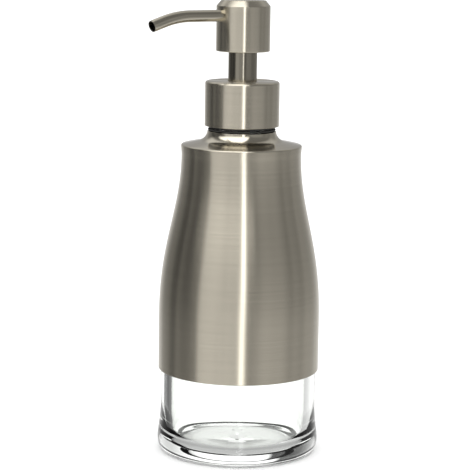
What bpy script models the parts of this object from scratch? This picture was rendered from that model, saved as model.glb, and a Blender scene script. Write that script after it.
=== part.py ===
"""Soap pump dispenser: a glass bottle in a steel sleeve, with a two-ball hand pump.

Metres, +Z up. The origin is on the bottle's axis, on the surface that it stands on, and the
spout points along -X. Run with: blender --background --python part.py
"""

from math import atan2, cos, pi, radians, sin, sqrt, tan

import bmesh
import bpy
from mathutils import Matrix, Vector

# Driving sizes. Radii are to outside faces unless a name says otherwise.
BODY_RADIUS = 0.0373  # sleeve, at its widest
WAIST_RADIUS = 0.0275
SHOULDER_RADIUS = 0.0278
SHOULDER_HEIGHT = 0.1425  # where the sleeve's side meets its shoulder
WAIST_DROP = 0.0035  # waist below the shoulder
SLEEVE_BOTTOM = 0.0385  # the glass shows below it
BELLY_HEIGHT = 0.063  # the side is straight up to here
SHOULDER_SLOPE = radians(12.2)
SHOULDER_EDGE = 0.0007
SLEEVE_WALL = 0.0006
NECK_FLARE = 0.0052
LIP_TRIM = 0.0004  # the flare stops this much short of upright
BELLY_EASE = 0.47  # handles of the side's curve, as shares of its height
WAIST_EASE = 0.35

GLASS_WALL = 0.0050
FLOOR_THICKNESS = 0.0032
FLOOR_CROWN = 0.0015  # the bottle's floor is this much higher in the middle
BASE_BULGE = 0.0013  # how far the foot of the glass stands out from its wall
BASE_BULGE_HEIGHT = 0.0050
BULGE_TOP = 0.0220
FOOT_DRAFT = 0.0008  # the foot's lower edge, in from its widest
FOOT_ROUND = 0.0030
FLOOR_CORNER = 0.0070
FLOOR_FLAT = 0.6  # the floor starts to rise at this share of its radius
THROAT_DROP = 0.6  # the throat starts this many walls below the shoulder
THROAT_ROUND = 0.0015
GLASS_FLARE = 0.0030  # where the glass neck meets its shoulder
LAND_EDGE = 0.0005

STEM_RADIUS = 0.0066
STEM_WALL = 0.0005
ROD_RADIUS = 0.0033
ROD_WALL = 0.0016
STROKE = 0.0115
COVER_ENGAGEMENT = 0.0120  # how much of the stem's cover the guide holds
GUIDE_WALL = 0.0009
GUIDE_FLOOR_THICKNESS = 0.0020
WIPER_SEAT = 0.0006  # left under the wiper ring
WIPER_WIDTH = 0.0017
CUP_WALL = 0.0009
FINISH_WALL = 0.0030  # the glass neck, without its thread
THREAD_DEPTH = 0.0010
THREAD_PITCH = 0.004233
THREAD_TURNS = 1.25
THREAD_DROP = 0.0025  # thread's upper end below the land
THREAD_ROOT = 0.0022  # widths of the glass thread's ridge
THREAD_CREST = 0.0012
CAP_THREAD_ROOT = 0.0018
CAP_THREAD_CREST = 0.0009
CAP_THREAD_BITE = 0.0006  # cap's ridge past the glass ridge's crest
THREAD_SINK = 0.0005  # how far a ridge is sunk in its wall
THREAD_START = radians(4)  # keeps the thread's facets off the neck's
CAP_WALL = 0.0023
CAP_TOP = 0.0017
COLLAR_WALL = 0.0006
COLLAR_HEIGHT = 0.0205
COLLAR_EDGE = 0.0012
BAND_HEIGHT = 0.0023  # black band between the sleeve's lip and the collar
GASKET_THICKNESS = 0.0010
NECK_GASKET_THICKNESS = 0.0008
FLANGE_THICKNESS = 0.0012

CUP_FLOOR_WALL = 0.0012
CONE_HEIGHT = 0.0040  # from the cup's floor down to the plain barrel
VENT_RADIUS = 0.0006
VENT_HEIGHT = 0.0040  # above the cup's floor
GUIDE_VENT_HEIGHT = 0.0020  # above the guide's floor
BARREL_BORE = 0.0055
BARREL_WALL = 0.0012
PISTON_LENGTH = 0.0060
PISTON_NECK = 0.0014  # piston's waist, in from the bore
SLIDE_ROOM = 0.0009  # follower and rod shoulder, in from the bore
LIP_LENGTH = 0.0008  # piston's lower lip, past its body
SPIGOT_STEP = 0.0004  # rod's spigot, in from the rod
SPIGOT_LENGTH = 0.0016
FOLLOWER_SEAT = 0.0015
CAGE_ROOF = 0.0010
CAGE_CUP = 0.0018  # cage above its roof, round the spring's foot
CAGE_RIM = 0.0008
CAGE_SLOT = 0.0016
BALL_ROOM = 0.0006  # round the inlet ball
SEAT_LAP = 0.0005  # inlet seat, in from the ball's radius
INLET_BALL_RADIUS = 0.0025
INLET_BALL_LIFT = 0.0015
OUTLET_BALL_RADIUS = 0.0022
OUTLET_BALL_LIFT = 0.0012
SPRING_WIRE = 0.0008  # diameter
SPRING_COILS = 7  # working turns, with a closed turn at each end
SPRING_SPARE = 0.0015  # length left when the pump is fully down
SPRING_ROOM = 0.0008  # from the coils to the bore
TUBE_RADIUS = 0.0025
TUBE_WALL = 0.0007
TAIL_WALL = 0.0011
TAIL_STEP = 0.0035  # barrel's floor down to the end of the dip tube
NOTCH_ANGLE = radians(30)
TAIL_LENGTH = 0.0100  # the housing's socket for the dip tube

HEAD_RADIUS = 0.01235
HEAD_HEIGHT = 0.0231
HEAD_WALL = 0.0006
HEAD_CHAMFER_IN = 0.0022
HEAD_CHAMFER_DOWN = 0.0026
HEAD_REST_GAP = 0.0020  # left above the collar when the head is fully down
SPOUT_RADIUS = 0.0027
SPOUT_WALL = 0.0005
SPOUT_DROP = 0.0068  # spout's axis below the top of the head
SPOUT_STRAIGHT = 0.0295  # from the head's axis to the start of the bend
SPOUT_REACH = 0.0498  # from the head's axis to the tip
SPOUT_BEND_RADIUS = 0.0470
SPOUT_BEND = radians(17.7)
ROD_SOCKET = 0.0088  # spout's axis down to the rod's end
COVER_STEP = 0.0015  # rod's end above the cover's
CORE_SKIRT = 0.0020  # core's sleeve between rod and cover, below the head
CORE_INSET = 0.0005
OUTLET_ROOM = 0.0004  # round the outlet ball
OUTLET_SLOT = 0.0010
OUTLET_SLOT_DEPTH = 0.0012
SEAL_DEPTH = 0.0030  # seal's groove, in from the core's side
SEAL_WIDTH = 0.0014
SEAL_GROOVE = 0.0011
SPOUT_SEAT = 0.0050  # inner end of the spout, from the head's axis

# Clearances
FIT = 0.0003  # faces that meet in the real object
SLEEVE_GAP = 0.0006  # round the glass, under the sleeve
NECK_GAP = 0.0006  # round the pump, in the neck
LIP_CLEARANCE = 0.0016  # sleeve's lip round the glass thread
TUBE_CLEARANCE = 0.0025  # dip tube above the floor
COVER_CLEARANCE = 0.0005  # stem's cover above the guide's floor, head down
BALL_CLEARANCE = 0.0002  # a seat or channel, in from what it stops
EASED = 0.0002  # small moulded or rolled edge
SOFT_EDGE = 0.0004
OVERCUT = 0.002  # how far a cutter runs past what it cuts

# Facets
LARGE_FACETS = 32
FACETS = 24
SMALL_FACETS = 20
COIL_FACETS = 14
VENT_FACETS = 10
EDGE_STEPS = 3

# Radii that follow from the stem outwards
ROD_HOLE = ROD_RADIUS + FIT
COVER_INNER = STEM_RADIUS - STEM_WALL
GUIDE_BORE = STEM_RADIUS + FIT
GUIDE_RADIUS = GUIDE_BORE + GUIDE_WALL
CUP_BORE = GUIDE_RADIUS + FIT
CUP_RADIUS = CUP_BORE + CUP_WALL
NECK_BORE = CUP_RADIUS + NECK_GAP
FINISH_RADIUS = NECK_BORE + FINISH_WALL
THREAD_RADIUS = FINISH_RADIUS + THREAD_DEPTH
CAP_BORE = THREAD_RADIUS + FIT
CAP_RADIUS = CAP_BORE + CAP_WALL
COLLAR_RADIUS = CAP_RADIUS + FIT + COLLAR_WALL
SLEEVE_NECK = THREAD_RADIUS + LIP_CLEARANCE + SLEEVE_WALL
FLANGE_RADIUS = FINISH_RADIUS - FIT
BARREL_RADIUS = BARREL_BORE + BARREL_WALL

# Heights: the sleeve's neck, then the collar, the bottle's land and the head
EDGE_CENTRE = SHOULDER_RADIUS - SHOULDER_EDGE
EDGE_TOP = Vector(
    (
        EDGE_CENTRE + SHOULDER_EDGE * sin(SHOULDER_SLOPE),
        SHOULDER_HEIGHT + SHOULDER_EDGE * cos(SHOULDER_SLOPE),
    )
)
FLARE_CENTRE = SLEEVE_NECK + NECK_FLARE
FLARE_HEIGHT = (
    EDGE_TOP.y
    + (EDGE_TOP.x - FLARE_CENTRE) * tan(SHOULDER_SLOPE)
    + NECK_FLARE / cos(SHOULDER_SLOPE)
)
LIP = FLARE_HEIGHT - LIP_TRIM
COLLAR_BOTTOM = LIP + BAND_HEIGHT
COLLAR_TOP = COLLAR_BOTTOM + COLLAR_HEIGHT
HEAD_BOTTOM = COLLAR_TOP + STROKE + HEAD_REST_GAP

# Heights in the pump, from the bottle's land
HOUSING_FLANGE = 2 * FIT + GASKET_THICKNESS
GUIDE_FLANGE = HOUSING_FLANGE + FLANGE_THICKNESS + FIT
CAP_UNDERSIDE = GUIDE_FLANGE + FLANGE_THICKNESS + FIT
GUIDE_TOP = CAP_UNDERSIDE + CAP_TOP
LAND = COLLAR_TOP - COLLAR_WALL - FIT - GUIDE_TOP
COVER_BOTTOM = GUIDE_TOP - COVER_ENGAGEMENT
GUIDE_FLOOR = COVER_BOTTOM - STROKE - COVER_CLEARANCE
GUIDE_BOTTOM = GUIDE_FLOOR - GUIDE_FLOOR_THICKNESS
CUP_FLOOR = GUIDE_BOTTOM - FIT
SHOULDER_BOTTOM = CUP_FLOOR - CUP_FLOOR_WALL
PISTON_BOTTOM = SHOULDER_BOTTOM - FIT - PISTON_LENGTH
SPIGOT_BOTTOM = PISTON_BOTTOM - SPIGOT_LENGTH
FOLLOWER_BOTTOM = SPIGOT_BOTTOM - FOLLOWER_SEAT
SPRING_TOP = FOLLOWER_BOTTOM - FIT
SPRING_LENGTH = STROKE + (SPRING_COILS + 3) * (SPRING_WIRE + FIT) + SPRING_SPARE
SPRING_BOTTOM = SPRING_TOP - SPRING_LENGTH
CAGE_TOP = SPRING_BOTTOM - FIT
INLET_SEAT = INLET_BALL_RADIUS - SEAT_LAP
BALL_RISE = sqrt(INLET_BALL_RADIUS**2 - INLET_SEAT**2) + FIT
CAGE_HEIGHT = BALL_RISE + INLET_BALL_RADIUS + INLET_BALL_LIFT + CAGE_ROOF + CAGE_CUP
BARREL_FLOOR = CAGE_TOP - CAGE_HEIGHT - FIT
TUBE_TOP = BARREL_FLOOR - TAIL_STEP
TAIL_BOTTOM = TUBE_TOP - TAIL_LENGTH

# Heights in the head, from its underside
SPOUT_HEIGHT = HEAD_HEIGHT - SPOUT_DROP
OUTLET_SEAT = ROD_RADIUS - ROD_WALL
CHANNEL_RADIUS = OUTLET_SEAT - BALL_CLEARANCE
ROD_TOP = SPOUT_HEIGHT - ROD_SOCKET
OUTLET_BALL_REST = sqrt(OUTLET_BALL_RADIUS**2 - OUTLET_SEAT**2) + FIT
CHAMBER_TOP = (
    ROD_TOP
    + OUTLET_BALL_REST
    + OUTLET_BALL_LIFT
    + sqrt(OUTLET_BALL_RADIUS**2 - CHANNEL_RADIUS**2)
    + FIT
)
COVER_TOP = ROD_TOP - COVER_STEP


def clear_scene():
    for thing in list(bpy.data.objects):
        bpy.data.objects.remove(thing, do_unlink=True)


def finish_material(name, colour, roughness, metallic=0.0, alpha=1.0):
    material = bpy.data.materials.new(name)
    material.use_nodes = True
    shader = material.node_tree.nodes["Principled BSDF"]
    shader.inputs["Base Color"].default_value = (*colour, 1.0)
    shader.inputs["Roughness"].default_value = roughness
    shader.inputs["Metallic"].default_value = metallic
    shader.inputs["Alpha"].default_value = alpha
    return material


def joint_frame(name, height, parent=None):
    """An empty on the bottle's axis, at a world height, that carries one moving group."""
    frame = bpy.data.objects.new(name, None)
    bpy.context.scene.collection.objects.link(frame)
    frame.parent = parent
    frame.location.z = height - (parent.location.z if parent else 0)
    return frame


def add_object(name, mesh_source, material, parent, location=(0, 0, 0)):
    """Makes a named object of a bmesh, shaded smooth with its corners left sharp."""
    bmesh.ops.recalc_face_normals(mesh_source, faces=mesh_source.faces)
    mesh = bpy.data.meshes.new(name)
    mesh_source.to_mesh(mesh)
    mesh_source.free()
    mesh.shade_smooth()
    mesh.set_sharp_from_angle(angle=radians(35))
    if material:
        mesh.materials.append(material)
    thing = bpy.data.objects.new(name, mesh)
    bpy.context.scene.collection.objects.link(thing)
    thing.parent = parent
    thing.location = location
    return thing


def rounded(corners, steps=EDGE_STEPS):
    """The outline through (radius, height, fillet) corners, with an arc at each fillet."""
    outline = []
    for i, (radius, height, fillet) in enumerate(corners):
        here = Vector((radius, height))
        if not fillet:
            outline.append(here)
            continue
        before = (Vector(corners[i - 1][:2]) - here).normalized()
        after = (Vector(corners[(i + 1) % len(corners)][:2]) - here).normalized()
        half = before.angle(after) / 2
        centre = here + (before + after).normalized() * fillet / sin(half)
        start = here + before * fillet / tan(half) - centre
        end = here + after * fillet / tan(half) - centre
        turn = start.angle_signed(end)
        for step in range(steps + 1):
            angle = atan2(start.y, start.x) - turn * step / steps
            outline.append(centre + fillet * Vector((cos(angle), sin(angle))))
    return outline


def arc(centre, radius, start, end, steps):
    """Points of an arc in the outline's plane; the angles are in radians."""
    angles = [start + (end - start) * i / steps for i in range(steps + 1)]
    return [Vector(centre) + radius * Vector((cos(a), sin(a))) for a in angles]


def turned_mesh(outline, facets):
    """Spins an outline round Z: closed on itself, or open from the axis to the axis."""
    source = bmesh.new()
    points = [source.verts.new((p[0], 0, p[1])) for p in outline]
    touches_axis = outline[0][0] < 1e-9 and outline[-1][0] < 1e-9
    ends = points[1:] if touches_axis else points[1:] + points[:1]
    edges = [source.edges.new(pair) for pair in zip(points, ends)]
    bmesh.ops.spin(
        source, geom=points + edges, cent=(0, 0, 0), axis=(0, 0, 1), dvec=(0, 0, 0),
        angle=2 * pi, steps=facets, use_merge=True, use_duplicate=False,
    )
    bmesh.ops.remove_doubles(source, verts=source.verts, dist=1e-7)
    return source


def turned(name, outline, material, parent, facets=FACETS, location=(0, 0, 0)):
    return add_object(name, turned_mesh(outline, facets), material, parent, location)


def ring(name, inner, outer, bottom, top, edge, material, parent, facets=FACETS):
    """A plain ring with rounded outer edges."""
    outline = rounded(
        [(inner, bottom, 0), (outer, bottom, edge), (outer, top, edge), (inner, top, 0)], 2
    )
    return turned(name, outline, material, parent, facets)


def coil(source, section, turns, pitch, facets):
    """Sweeps the face round Z along a helix, and returns the face at its far end."""
    steps = round(turns * facets)
    carries_on = any(len(edge.link_faces) > 1 for edge in section.edges)
    made = bmesh.ops.spin(
        source, geom=[section], cent=(0, 0, 0), axis=(0, 0, 1), dvec=(0, 0, pitch / facets),
        angle=2 * pi * steps / facets, steps=steps, use_duplicate=False,
    )
    if carries_on:
        bmesh.ops.delete(source, geom=[section], context="FACES_ONLY")
    return next(e for e in made["geom_last"] if isinstance(e, bmesh.types.BMFace))


def thread_ridge(name, root, crest, root_width, crest_width, height, parent):
    """A helical ridge, right-handed, whose lower end is centred at the given height."""
    source = bmesh.new()
    corners = [
        (root, -root_width / 2), (crest, -crest_width / 2),
        (crest, crest_width / 2), (root, root_width / 2),
    ]
    section = source.faces.new([source.verts.new((r, 0, z)) for r, z in corners])
    coil(source, section, THREAD_TURNS, THREAD_PITCH, LARGE_FACETS)
    ridge = add_object(name, source, None, parent, (0, 0, height))
    ridge.rotation_euler.z = THREAD_START
    return as_cutter(ridge)


def as_cutter(thing):
    thing.hide_render = True
    thing.display_type = "WIRE"
    return thing


def combine(thing, other, operation):
    modifier = thing.modifiers.new(other.name, "BOOLEAN")
    modifier.operation = operation
    modifier.object = other
    modifier.solver = "EXACT"


def rod_cutter(name, radius, start, end, parent, facets=SMALL_FACETS):
    """A cylinder between two points, to cut with."""
    start, end = Vector(start), Vector(end)
    source = bmesh.new()
    bmesh.ops.create_cone(
        source, cap_ends=True, segments=facets, radius1=radius, radius2=radius,
        depth=(end - start).length,
    )
    cutter = add_object(name, source, None, parent, (start + end) / 2)
    cutter.rotation_euler = (end - start).to_track_quat("Z", "Y").to_euler()
    return as_cutter(cutter)


def cross_cutters(name, width, reach, bottom, top, parent):
    """Two crossed bars, to cut flow slots past a ball."""
    bars = []
    for i, size in enumerate(((reach * 2, width), (width, reach * 2))):
        source = bmesh.new()
        scale = Matrix.Diagonal((*size, top - bottom, 1))
        bmesh.ops.create_cube(source, size=1, matrix=scale)
        bar = add_object(f"{name}_{i}", source, None, parent, (0, 0, (bottom + top) / 2))
        bars.append(as_cutter(bar))
    return bars


def body_side(bottom, inset, steps):
    """The sleeve's side from bottom to the shoulder, moved in by inset."""
    waist = SHOULDER_HEIGHT - WAIST_DROP
    rise = waist - BELLY_HEIGHT
    heights = (BELLY_HEIGHT, BELLY_HEIGHT + BELLY_EASE * rise, waist - WAIST_EASE * rise, waist)
    radii = (BODY_RADIUS, BODY_RADIUS, WAIST_RADIUS, WAIST_RADIUS)
    points = [Vector((BODY_RADIUS - inset, bottom))]
    for i in range(steps + 1):
        t = i / steps
        shares = ((1 - t) ** 3, 3 * (1 - t) ** 2 * t, 3 * (1 - t) * t**2, t**3)
        points.append(
            Vector(
                (
                    sum(s * r for s, r in zip(shares, radii)) - inset,
                    sum(s * h for s, h in zip(shares, heights)),
                )
            )
        )
    return points


def shoulder(inset, neck_radius, flare, top, steps):
    """The shoulder and the flare of the neck, from the edge inwards and up, moved in."""
    edge = max(SHOULDER_EDGE - inset, EASED)
    centre = (SHOULDER_RADIUS - inset - edge, SHOULDER_HEIGHT)
    outer = arc(centre, edge, 0, pi / 2 - SHOULDER_SLOPE, EDGE_STEPS)
    line_height = EDGE_TOP.y - inset / cos(SHOULDER_SLOPE)
    flare_centre = neck_radius + flare
    flare_height = (
        line_height
        + (EDGE_TOP.x - flare_centre) * tan(SHOULDER_SLOPE)
        + flare / cos(SHOULDER_SLOPE)
    )
    stop = min((top - flare_height) / flare, 0)
    inner = arc(
        (flare_centre, flare_height), flare, 1.5 * pi - SHOULDER_SLOPE, pi - stop, steps
    )
    return outer + inner


def make_bottle(steel, glass, black, bottle):
    lip_inner = SLEEVE_NECK - SLEEVE_WALL
    outside = (
        body_side(SLEEVE_BOTTOM, 0, 10) + shoulder(0, SLEEVE_NECK, NECK_FLARE, LIP, 6)
    )
    inside = (
        body_side(SLEEVE_BOTTOM, SLEEVE_WALL, 10)
        + shoulder(SLEEVE_WALL, lip_inner, NECK_FLARE + SLEEVE_WALL, LIP, 6)
    )
    turned("steel_sleeve", outside + inside[::-1], steel, bottle, LARGE_FACETS)

    inset = SLEEVE_WALL + SLEEVE_GAP
    wall = BODY_RADIUS - inset
    foot = wall + BASE_BULGE
    base = rounded(
        [
            (0, 0, 0),
            (foot - FOOT_DRAFT, 0, FOOT_ROUND),
            (foot, BASE_BULGE_HEIGHT, FOOT_ROUND * 2 / 3),
            (wall + BASE_BULGE / 4, BULGE_TOP * 0.7, 0),
            (wall, BULGE_TOP, 0),
        ]
    )
    neck = [
        Vector((FINISH_RADIUS, LAND - LAND_EDGE)), Vector((FINISH_RADIUS - LAND_EDGE, LAND)),
    ]
    outer = (
        base
        + body_side(SLEEVE_BOTTOM, inset, 8)[1:]
        + shoulder(inset, FINISH_RADIUS, GLASS_FLARE, LIP, 4)
        + neck
    )
    cavity = wall - GLASS_WALL
    inner_wall = [
        p for p in body_side(SLEEVE_BOTTOM, inset + GLASS_WALL, 8) if p.y < SHOULDER_HEIGHT
    ]
    throat_low = SHOULDER_HEIGHT - GLASS_WALL * THROAT_DROP
    mouth = rounded(
        [
            (NECK_BORE, LAND, 0),
            (NECK_BORE, throat_low + GLASS_WALL * 0.4, THROAT_ROUND),
            (inner_wall[-1].x - GLASS_WALL / 10, throat_low - GLASS_WALL / 5, THROAT_ROUND),
            (inner_wall[-1].x, inner_wall[-1].y - GLASS_WALL * 0.6, 0),
        ]
    )
    floor = rounded(
        [
            (cavity, FLOOR_THICKNESS + 2 * FLOOR_CORNER, 0),
            (cavity, FLOOR_THICKNESS, FLOOR_CORNER),
            (cavity * FLOOR_FLAT, FLOOR_THICKNESS + FLOOR_CROWN / 10, FLOOR_CORNER),
            (0.0, FLOOR_THICKNESS + FLOOR_CROWN, 0),
        ]
    )
    outline = outer + mouth[:-1] + inner_wall[:-2][::-1] + floor[1:]
    bottle_glass = turned("glass_bottle", outline, glass, bottle, LARGE_FACETS)
    ridge = thread_ridge(
        "glass_thread", FINISH_RADIUS - THREAD_SINK, THREAD_RADIUS, THREAD_ROOT, THREAD_CREST,
        LAND - THREAD_DROP - THREAD_TURNS * THREAD_PITCH, bottle,
    )
    combine(bottle_glass, ridge, "UNION")

    ring(
        "neck_gasket", CAP_BORE, SLEEVE_NECK - FIT, LIP + FIT,
        LIP + FIT + NECK_GASKET_THICKNESS, EASED, black, bottle, LARGE_FACETS,
    )


def make_closure(steel, black, closure):
    cap_bottom = LIP + 2 * FIT + NECK_GASKET_THICKNESS - COLLAR_BOTTOM
    underside = LAND + CAP_UNDERSIDE - COLLAR_BOTTOM
    cap_top = underside + CAP_TOP
    skirt = SLEEVE_NECK - 2 * FIT
    outline = rounded(
        [
            (CAP_BORE, cap_bottom, 0),
            (skirt, cap_bottom, EASED),
            (skirt, FIT, 0),
            (CAP_RADIUS, 2 * FIT + SOFT_EDGE, 0),
            (CAP_RADIUS, cap_top, COLLAR_EDGE - COLLAR_WALL),
            (CUP_BORE + FIT, cap_top, 0),
            (CUP_BORE + FIT, underside, 0),
            (CAP_BORE, underside, SOFT_EDGE),
        ]
    )
    cap = turned("closure_cap", outline, black, closure, LARGE_FACETS)
    ridge_drop = (CAP_THREAD_ROOT + CAP_THREAD_CREST) / 2 + FIT
    ridge = thread_ridge(
        "cap_thread", CAP_BORE + THREAD_SINK, THREAD_RADIUS - CAP_THREAD_BITE,
        CAP_THREAD_ROOT, CAP_THREAD_CREST,
        LAND - THREAD_DROP - THREAD_TURNS * THREAD_PITCH - ridge_drop - COLLAR_BOTTOM, closure,
    )
    combine(cap, ridge, "UNION")

    inner = COLLAR_RADIUS - COLLAR_WALL
    outline = rounded(
        [
            (inner, 0, 0),
            (COLLAR_RADIUS, 0, EASED),
            (COLLAR_RADIUS, COLLAR_HEIGHT, COLLAR_EDGE),
            (STEM_RADIUS + 1.5 * FIT, COLLAR_HEIGHT, 0),
            (STEM_RADIUS + 1.5 * FIT, COLLAR_HEIGHT - COLLAR_WALL, 0),
            (inner, COLLAR_HEIGHT - COLLAR_WALL, COLLAR_EDGE - COLLAR_WALL),
        ]
    )
    turned("collar_shell", outline, steel, closure, LARGE_FACETS)


def make_pump(white, black, clear, steel, ball_steel, pump):
    ring(
        "closure_gasket", NECK_BORE, FLANGE_RADIUS, FIT, FIT + GASKET_THICKNESS, EASED,
        black, pump,
    )
    socket = TUBE_RADIUS + FIT
    tail = socket + TAIL_WALL
    outline = rounded(
        [
            (socket, TAIL_BOTTOM, 0),
            (tail, TAIL_BOTTOM, EASED),
            (tail, TUBE_TOP, 0),
            (BARREL_RADIUS, BARREL_FLOOR - BARREL_WALL * 2 / 3, SOFT_EDGE),
            (BARREL_RADIUS, CUP_FLOOR - CONE_HEIGHT, 0),
            (CUP_RADIUS, CUP_FLOOR - CUP_FLOOR_WALL - SOFT_EDGE, SOFT_EDGE),
            (CUP_RADIUS, HOUSING_FLANGE, 0),
            (FLANGE_RADIUS, HOUSING_FLANGE, 0),
            (FLANGE_RADIUS, HOUSING_FLANGE + FLANGE_THICKNESS, EASED),
            (CUP_BORE, HOUSING_FLANGE + FLANGE_THICKNESS, 0),
            (CUP_BORE, CUP_FLOOR, 0),
            (BARREL_BORE, CUP_FLOOR, 0),
            (BARREL_BORE, BARREL_FLOOR, 0),
            (INLET_SEAT, BARREL_FLOOR, 0),
            (INLET_SEAT, TUBE_TOP + FIT, 0),
            (socket, TUBE_TOP + FIT, 0),
        ]
    )
    housing = turned("pump_housing", outline, white, pump)
    vent = rod_cutter(
        "vent", VENT_RADIUS, (BARREL_BORE, 0, CUP_FLOOR + VENT_HEIGHT),
        (CUP_RADIUS + OVERCUT, 0, CUP_FLOOR + VENT_HEIGHT), pump, VENT_FACETS,
    )
    combine(housing, vent, "DIFFERENCE")

    pocket = ROD_HOLE + WIPER_WIDTH + FIT
    outline = rounded(
        [
            (ROD_HOLE, GUIDE_BOTTOM, 0),
            (GUIDE_RADIUS, GUIDE_BOTTOM, SOFT_EDGE),
            (GUIDE_RADIUS, GUIDE_FLANGE, 0),
            (FLANGE_RADIUS, GUIDE_FLANGE, 0),
            (FLANGE_RADIUS, GUIDE_FLANGE + FLANGE_THICKNESS, EASED),
            (CUP_BORE, GUIDE_FLANGE + FLANGE_THICKNESS, 0),
            (CUP_BORE, GUIDE_TOP, EASED),
            (GUIDE_BORE, GUIDE_TOP, 0),
            (GUIDE_BORE, GUIDE_FLOOR, 0),
            (pocket + SOFT_EDGE, GUIDE_FLOOR, 0),
            (pocket, GUIDE_FLOOR - FIT, 0),
            (pocket, GUIDE_BOTTOM + WIPER_SEAT, 0),
            (ROD_HOLE, GUIDE_BOTTOM + WIPER_SEAT, 0),
        ]
    )
    guide = turned("stem_guide", outline, white, pump)
    guide_vent = rod_cutter(
        "guide_vent", VENT_RADIUS, (0, 0, GUIDE_FLOOR + GUIDE_VENT_HEIGHT),
        (-CUP_BORE - OVERCUT, 0, GUIDE_FLOOR + GUIDE_VENT_HEIGHT), pump, VENT_FACETS,
    )
    combine(guide, guide_vent, "DIFFERENCE")
    ring(
        "rod_wiper", ROD_HOLE, ROD_HOLE + WIPER_WIDTH, GUIDE_BOTTOM + WIPER_SEAT + FIT,
        GUIDE_FLOOR, EASED, black, pump, SMALL_FACETS,
    )

    cage_bottom = BARREL_FLOOR + FIT
    ball_room = INLET_BALL_RADIUS + BALL_ROOM
    roof = BARREL_FLOOR + BALL_RISE + INLET_BALL_RADIUS + INLET_BALL_LIFT + FIT
    cage_radius = BARREL_BORE - FIT
    outline = rounded(
        [
            (ball_room, cage_bottom, 0),
            (cage_radius, cage_bottom, EASED),
            (cage_radius, CAGE_TOP, 0),
            (cage_radius - CAGE_RIM, CAGE_TOP, 0),
            (ball_room, roof + CAGE_ROOF, 0),
            (0, roof + CAGE_ROOF, 0),
            (0, roof, 0),
            (ball_room, roof, 0),
        ]
    )
    outline = outline[6:] + outline[:6]
    cage = turned("ball_cage", outline, white, pump, SMALL_FACETS)
    slot_reach = ball_room - FIT
    for bar in cross_cutters(
        "cage_slot", CAGE_SLOT, slot_reach, roof - OVERCUT / 4, roof + OVERCUT, pump
    ):
        combine(cage, bar, "DIFFERENCE")

    make_ball("inlet_ball", INLET_BALL_RADIUS, BARREL_FLOOR + BALL_RISE, ball_steel, pump)
    make_spring(steel, pump)

    bottom = FLOOR_THICKNESS + FLOOR_CROWN + TUBE_CLEARANCE - LAND
    outline = [
        (TUBE_RADIUS - TUBE_WALL, bottom), (TUBE_RADIUS, bottom),
        (TUBE_RADIUS, TUBE_TOP), (TUBE_RADIUS - TUBE_WALL, TUBE_TOP),
    ]
    tube = turned("dip_tube", outline, clear, pump, SMALL_FACETS)
    notch = bmesh.new()
    bmesh.ops.create_cube(notch, size=4 * TUBE_RADIUS)
    notch_tool = as_cutter(
        add_object("tube_notch", notch, None, pump, (2.2 * TUBE_RADIUS, 0, bottom - TUBE_RADIUS))
    )
    notch_tool.rotation_euler.y = -NOTCH_ANGLE
    combine(tube, notch_tool, "DIFFERENCE")


def make_ball(name, radius, height, material, parent):
    source = bmesh.new()
    bmesh.ops.create_uvsphere(source, u_segments=16, v_segments=10, radius=radius)
    return add_object(name, source, material, parent, (0, 0, height))


def make_spring(steel, pump):
    source = bmesh.new()
    closed_pitch = SPRING_WIRE + FIT
    radius = BARREL_BORE - SPRING_ROOM - SPRING_WIRE / 2
    open_pitch = (SPRING_LENGTH - SPRING_WIRE - 2 * closed_pitch) / SPRING_COILS
    made = bmesh.ops.create_circle(source, cap_ends=True, segments=6, radius=SPRING_WIRE / 2)
    turn = Matrix.Translation((radius, 0, SPRING_WIRE / 2)) @ Matrix.Rotation(pi / 2, 4, "X")
    bmesh.ops.transform(source, matrix=turn, verts=made["verts"])
    source.faces.ensure_lookup_table()
    end = coil(source, source.faces[0], 1, closed_pitch, COIL_FACETS)
    end = coil(source, end, SPRING_COILS, open_pitch, COIL_FACETS)
    coil(source, end, 1, closed_pitch, COIL_FACETS)
    return add_object("return_spring", source, steel, pump, (0, 0, SPRING_BOTTOM))


def make_plunger(white, black, plunger):
    """Drawn from the bottle's land, like the pump that it slides in."""
    spigot_hole = ROD_RADIUS - SPIGOT_STEP
    outline = rounded(
        [
            (spigot_hole, PISTON_BOTTOM, 0),
            (BARREL_BORE - PISTON_NECK - BALL_CLEARANCE, PISTON_BOTTOM, 0),
            (BARREL_BORE - FIT, PISTON_BOTTOM - LIP_LENGTH, 0),
            (BARREL_BORE - FIT, PISTON_BOTTOM + PISTON_LENGTH / 6, 0),
            (BARREL_BORE - PISTON_NECK, PISTON_BOTTOM + PISTON_LENGTH / 3, 0),
            (BARREL_BORE - PISTON_NECK, SHOULDER_BOTTOM - PISTON_LENGTH * 0.43, 0),
            (BARREL_BORE - FIT, SHOULDER_BOTTOM - PISTON_LENGTH * 0.27, 0),
            (BARREL_BORE - FIT, SHOULDER_BOTTOM - FIT, EASED),
            (spigot_hole, SHOULDER_BOTTOM - FIT, 0),
        ]
    )
    turned("piston_cup", outline, black, plunger)
    outline = rounded(
        [
            (CHANNEL_RADIUS, FOLLOWER_BOTTOM, 0),
            (BARREL_BORE - SLIDE_ROOM, FOLLOWER_BOTTOM, EASED),
            (BARREL_BORE - SLIDE_ROOM, SPIGOT_BOTTOM + EASED, 0),
            (spigot_hole + SLIDE_ROOM, PISTON_BOTTOM - SPIGOT_LENGTH * 3 / 4, 0),
            (spigot_hole, PISTON_BOTTOM - SPIGOT_LENGTH * 3 / 4, 0),
            (spigot_hole, SPIGOT_BOTTOM - FIT, 0),
            (CHANNEL_RADIUS, SPIGOT_BOTTOM - FIT, 0),
        ]
    )
    turned("spring_follower", outline, white, plunger)


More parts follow.
